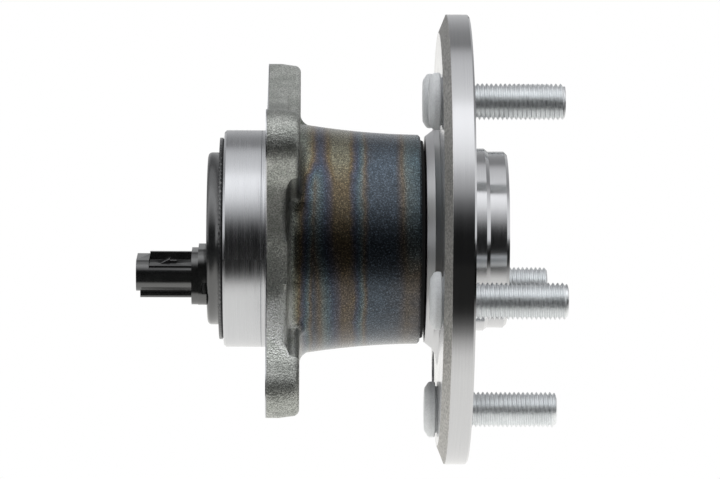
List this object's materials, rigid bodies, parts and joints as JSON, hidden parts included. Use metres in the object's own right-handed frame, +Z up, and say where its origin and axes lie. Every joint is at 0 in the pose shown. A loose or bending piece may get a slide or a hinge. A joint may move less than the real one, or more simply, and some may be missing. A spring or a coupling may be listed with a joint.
{
  "type": "wheel hub bearing",
  "caption": "Flanged wheel hub bearing: lobed outer ring that bolts to a carrier, spinning studded wheel flange, rolling balls inside and a capped speed sensor with a plug socket.",
  "frame": {"origin": "centre of the carrier mounting face, on the bearing axis", "axes": "+X along the bearing axis from the carrier towards the wheel, +Z up as the picture shows it, +Y away from the viewer; the carrier bolts' rectangle lies along Y and Z"},
  "size_m": [0.1401, 0.1504, 0.1504],
  "materials": {
    "forged_steel": "as forged and heat tinted, spigot and face machined",
    "hub_steel": "fine turned",
    "zinc_steel": "bright zinc plated",
    "bearing_steel": "ground",
    "ball_steel": "lapped",
    "nut_steel": "phosphated",
    "seal_steel": "pressed sheet",
    "cap_coat": "satin black coat",
    "sensor_plastic": "moulded, satin",
    "cage_nylon": "natural nylon",
    "chip_resin": "moulded",
    "black_rubber": "matt",
    "magnet_rubber": "matt",
    "tinned_brass": "tinned"
  },
  "bodies": {
    "housing": {"outer_ring": "forged_steel", "outboard_seal_case": "seal_steel", "outboard_seal_lip": "black_rubber", "end_cap": "cap_coat", "cap_gasket": "black_rubber", "sensor_housing": "sensor_plastic", "sensor_seal_ring": "black_rubber", "sensor_chip": "chip_resin", "terminal_1": "tinned_brass", "terminal_2": "tinned_brass"},
    "hub": {"hub_spindle": "hub_steel", "inner_ring": "bearing_steel", "spindle_nut": "nut_steel", "encoder_carrier": "seal_steel", "encoder_magnet": "magnet_rubber", "wheel_stud_1": "zinc_steel", "wheel_stud_2": "zinc_steel", "wheel_stud_3": "zinc_steel", "wheel_stud_4": "zinc_steel", "wheel_stud_5": "zinc_steel"},
    "inboard_cage_set": {"inboard_cage": "cage_nylon"},
    "inboard_ball_01_body": {"inboard_ball_01": "ball_steel"},
    "inboard_ball_02_body": {"inboard_ball_02": "ball_steel"},
    "inboard_ball_03_body": {"inboard_ball_03": "ball_steel"},
    "inboard_ball_04_body": {"inboard_ball_04": "ball_steel"},
    "inboard_ball_05_body": {"inboard_ball_05": "ball_steel"},
    "inboard_ball_06_body": {"inboard_ball_06": "ball_steel"},
    "inboard_ball_07_body": {"inboard_ball_07": "ball_steel"},
    "inboard_ball_08_body": {"inboard_ball_08": "ball_steel"},
    "inboard_ball_09_body": {"inboard_ball_09": "ball_steel"},
    "inboard_ball_10_body": {"inboard_ball_10": "ball_steel"},
    "inboard_ball_11_body": {"inboard_ball_11": "ball_steel"},
    "outboard_cage_set": {"outboard_cage": "cage_nylon"},
    "outboard_ball_01_body": {"outboard_ball_01": "ball_steel"},
    "outboard_ball_02_body": {"outboard_ball_02": "ball_steel"},
    "outboard_ball_03_body": {"outboard_ball_03": "ball_steel"},
    "outboard_ball_04_body": {"outboard_ball_04": "ball_steel"},
    "outboard_ball_05_body": {"outboard_ball_05": "ball_steel"},
    "outboard_ball_06_body": {"outboard_ball_06": "ball_steel"},
    "outboard_ball_07_body": {"outboard_ball_07": "ball_steel"},
    "outboard_ball_08_body": {"outboard_ball_08": "ball_steel"},
    "outboard_ball_09_body": {"outboard_ball_09": "ball_steel"},
    "outboard_ball_10_body": {"outboard_ball_10": "ball_steel"},
    "outboard_ball_11_body": {"outboard_ball_11": "ball_steel"}
  },
  "joints": [
    {"name": "hub_spin", "type": "hinge", "parent": "housing", "child": "hub", "pos_m": [0.02, 0, 0], "axis": [1, 0, 0], "continuous": true},
    {"name": "inboard_cage_orbit", "type": "hinge", "parent": "housing", "child": "inboard_cage_set", "pos_m": [0.0035, 0, 0], "axis": [1, 0, 0], "continuous": true},
    {"name": "inboard_ball_01_spin", "type": "hinge", "parent": "inboard_cage_set", "child": "inboard_ball_01_body", "pos_m": [0.0035, 0.025, 0], "axis": [0.809, -0.5878, 0], "continuous": true},
    {"name": "inboard_ball_02_spin", "type": "hinge", "parent": "inboard_cage_set", "child": "inboard_ball_02_body", "pos_m": [0.0035, 0.02103, 0.01352], "axis": [0.809, -0.4945, -0.3178], "continuous": true},
    {"name": "inboard_ball_03_spin", "type": "hinge", "parent": "inboard_cage_set", "child": "inboard_ball_03_body", "pos_m": [0.0035, 0.01039, 0.02274], "axis": [0.809, -0.2442, -0.5347], "continuous": true},
    {"name": "inboard_ball_04_spin", "type": "hinge", "parent": "inboard_cage_set", "child": "inboard_ball_04_body", "pos_m": [0.0035, -0.00356, 0.02475], "axis": [0.809, 0.0837, -0.5818], "continuous": true},
    {"name": "inboard_ball_05_spin", "type": "hinge", "parent": "inboard_cage_set", "child": "inboard_ball_05_body", "pos_m": [0.0035, -0.01637, 0.01889], "axis": [0.809, 0.3849, -0.4442], "continuous": true},
    {"name": "inboard_ball_06_spin", "type": "hinge", "parent": "inboard_cage_set", "child": "inboard_ball_06_body", "pos_m": [0.0035, -0.02399, 0.00704], "axis": [0.809, 0.564, -0.1656], "continuous": true},
    {"name": "inboard_ball_07_spin", "type": "hinge", "parent": "inboard_cage_set", "child": "inboard_ball_07_body", "pos_m": [0.0035, -0.02399, -0.00704], "axis": [0.809, 0.564, 0.1656], "continuous": true},
    {"name": "inboard_ball_08_spin", "type": "hinge", "parent": "inboard_cage_set", "child": "inboard_ball_08_body", "pos_m": [0.0035, -0.01637, -0.01889], "axis": [0.809, 0.3849, 0.4442], "continuous": true},
    {"name": "inboard_ball_09_spin", "type": "hinge", "parent": "inboard_cage_set", "child": "inboard_ball_09_body", "pos_m": [0.0035, -0.00356, -0.02475], "axis": [0.809, 0.0837, 0.5818], "continuous": true},
    {"name": "inboard_ball_10_spin", "type": "hinge", "parent": "inboard_cage_set", "child": "inboard_ball_10_body", "pos_m": [0.0035, 0.01039, -0.02274], "axis": [0.809, -0.2442, 0.5347], "continuous": true},
    {"name": "inboard_ball_11_spin", "type": "hinge", "parent": "inboard_cage_set", "child": "inboard_ball_11_body", "pos_m": [0.0035, 0.02103, -0.01352], "axis": [0.809, -0.4945, 0.3178], "continuous": true},
    {"name": "outboard_cage_orbit", "type": "hinge", "parent": "housing", "child": "outboard_cage_set", "pos_m": [0.035, 0, 0], "axis": [1, 0, 0], "continuous": true},
    {"name": "outboard_ball_01_spin", "type": "hinge", "parent": "outboard_cage_set", "child": "outboard_ball_01_body", "pos_m": [0.035, 0.025, 0], "axis": [0.809, 0.5878, 0], "continuous": true},
    {"name": "outboard_ball_02_spin", "type": "hinge", "parent": "outboard_cage_set", "child": "outboard_ball_02_body", "pos_m": [0.035, 0.02103, 0.01352], "axis": [0.809, 0.4945, 0.3178], "continuous": true},
    {"name": "outboard_ball_03_spin", "type": "hinge", "parent": "outboard_cage_set", "child": "outboard_ball_03_body", "pos_m": [0.035, 0.01039, 0.02274], "axis": [0.809, 0.2442, 0.5347], "continuous": true},
    {"name": "outboard_ball_04_spin", "type": "hinge", "parent": "outboard_cage_set", "child": "outboard_ball_04_body", "pos_m": [0.035, -0.00356, 0.02475], "axis": [0.809, -0.0837, 0.5818], "continuous": true},
    {"name": "outboard_ball_05_spin", "type": "hinge", "parent": "outboard_cage_set", "child": "outboard_ball_05_body", "pos_m": [0.035, -0.01637, 0.01889], "axis": [0.809, -0.3849, 0.4442], "continuous": true},
    {"name": "outboard_ball_06_spin", "type": "hinge", "parent": "outboard_cage_set", "child": "outboard_ball_06_body", "pos_m": [0.035, -0.02399, 0.00704], "axis": [0.809, -0.564, 0.1656], "continuous": true},
    {"name": "outboard_ball_07_spin", "type": "hinge", "parent": "outboard_cage_set", "child": "outboard_ball_07_body", "pos_m": [0.035, -0.02399, -0.00704], "axis": [0.809, -0.564, -0.1656], "continuous": true},
    {"name": "outboard_ball_08_spin", "type": "hinge", "parent": "outboard_cage_set", "child": "outboard_ball_08_body", "pos_m": [0.035, -0.01637, -0.01889], "axis": [0.809, -0.3849, -0.4442], "continuous": true},
    {"name": "outboard_ball_09_spin", "type": "hinge", "parent": "outboard_cage_set", "child": "outboard_ball_09_body", "pos_m": [0.035, -0.00356, -0.02475], "axis": [0.809, -0.0837, -0.5818], "continuous": true},
    {"name": "outboard_ball_10_spin", "type": "hinge", "parent": "outboard_cage_set", "child": "outboard_ball_10_body", "pos_m": [0.035, 0.01039, -0.02274], "axis": [0.809, 0.2442, -0.5347], "continuous": true},
    {"name": "outboard_ball_11_spin", "type": "hinge", "parent": "outboard_cage_set", "child": "outboard_ball_11_body", "pos_m": [0.035, 0.02103, -0.01352], "axis": [0.809, 0.4945, -0.3178], "continuous": true}
  ],
  "couplings": [
    {"joint": "inboard_cage_orbit", "follows": "hub_spin", "ratio": 0.39725},
    {"joint": "inboard_ball_01_spin", "follows": "hub_spin", "ratio": -1.8854},
    {"joint": "inboard_ball_02_spin", "follows": "hub_spin", "ratio": -1.8854},
    {"joint": "inboard_ball_03_spin", "follows": "hub_spin", "ratio": -1.8854},
    {"joint": "inboard_ball_04_spin", "follows": "hub_spin", "ratio": -1.8854},
    {"joint": "inboard_ball_05_spin", "follows": "hub_spin", "ratio": -1.8854},
    {"joint": "inboard_ball_06_spin", "follows": "hub_spin", "ratio": -1.8854},
    {"joint": "inboard_ball_07_spin", "follows": "hub_spin", "ratio": -1.8854},
    {"joint": "inboard_ball_08_spin", "follows": "hub_spin", "ratio": -1.8854},
    {"joint": "inboard_ball_09_spin", "follows": "hub_spin", "ratio": -1.8854},
    {"joint": "inboard_ball_10_spin", "follows": "hub_spin", "ratio": -1.8854},
    {"joint": "inboard_ball_11_spin", "follows": "hub_spin", "ratio": -1.8854},
    {"joint": "outboard_cage_orbit", "follows": "hub_spin", "ratio": 0.39725},
    {"joint": "outboard_ball_01_spin", "follows": "hub_spin", "ratio": -1.8854},
    {"joint": "outboard_ball_02_spin", "follows": "hub_spin", "ratio": -1.8854},
    {"joint": "outboard_ball_03_spin", "follows": "hub_spin", "ratio": -1.8854},
    {"joint": "outboard_ball_04_spin", "follows": "hub_spin", "ratio": -1.8854},
    {"joint": "outboard_ball_05_spin", "follows": "hub_spin", "ratio": -1.8854},
    {"joint": "outboard_ball_06_spin", "follows": "hub_spin", "ratio": -1.8854},
    {"joint": "outboard_ball_07_spin", "follows": "hub_spin", "ratio": -1.8854},
    {"joint": "outboard_ball_08_spin", "follows": "hub_spin", "ratio": -1.8854},
    {"joint": "outboard_ball_09_spin", "follows": "hub_spin", "ratio": -1.8854},
    {"joint": "outboard_ball_10_spin", "follows": "hub_spin", "ratio": -1.8854},
    {"joint": "outboard_ball_11_spin", "follows": "hub_spin", "ratio": -1.8854}
  ]
}
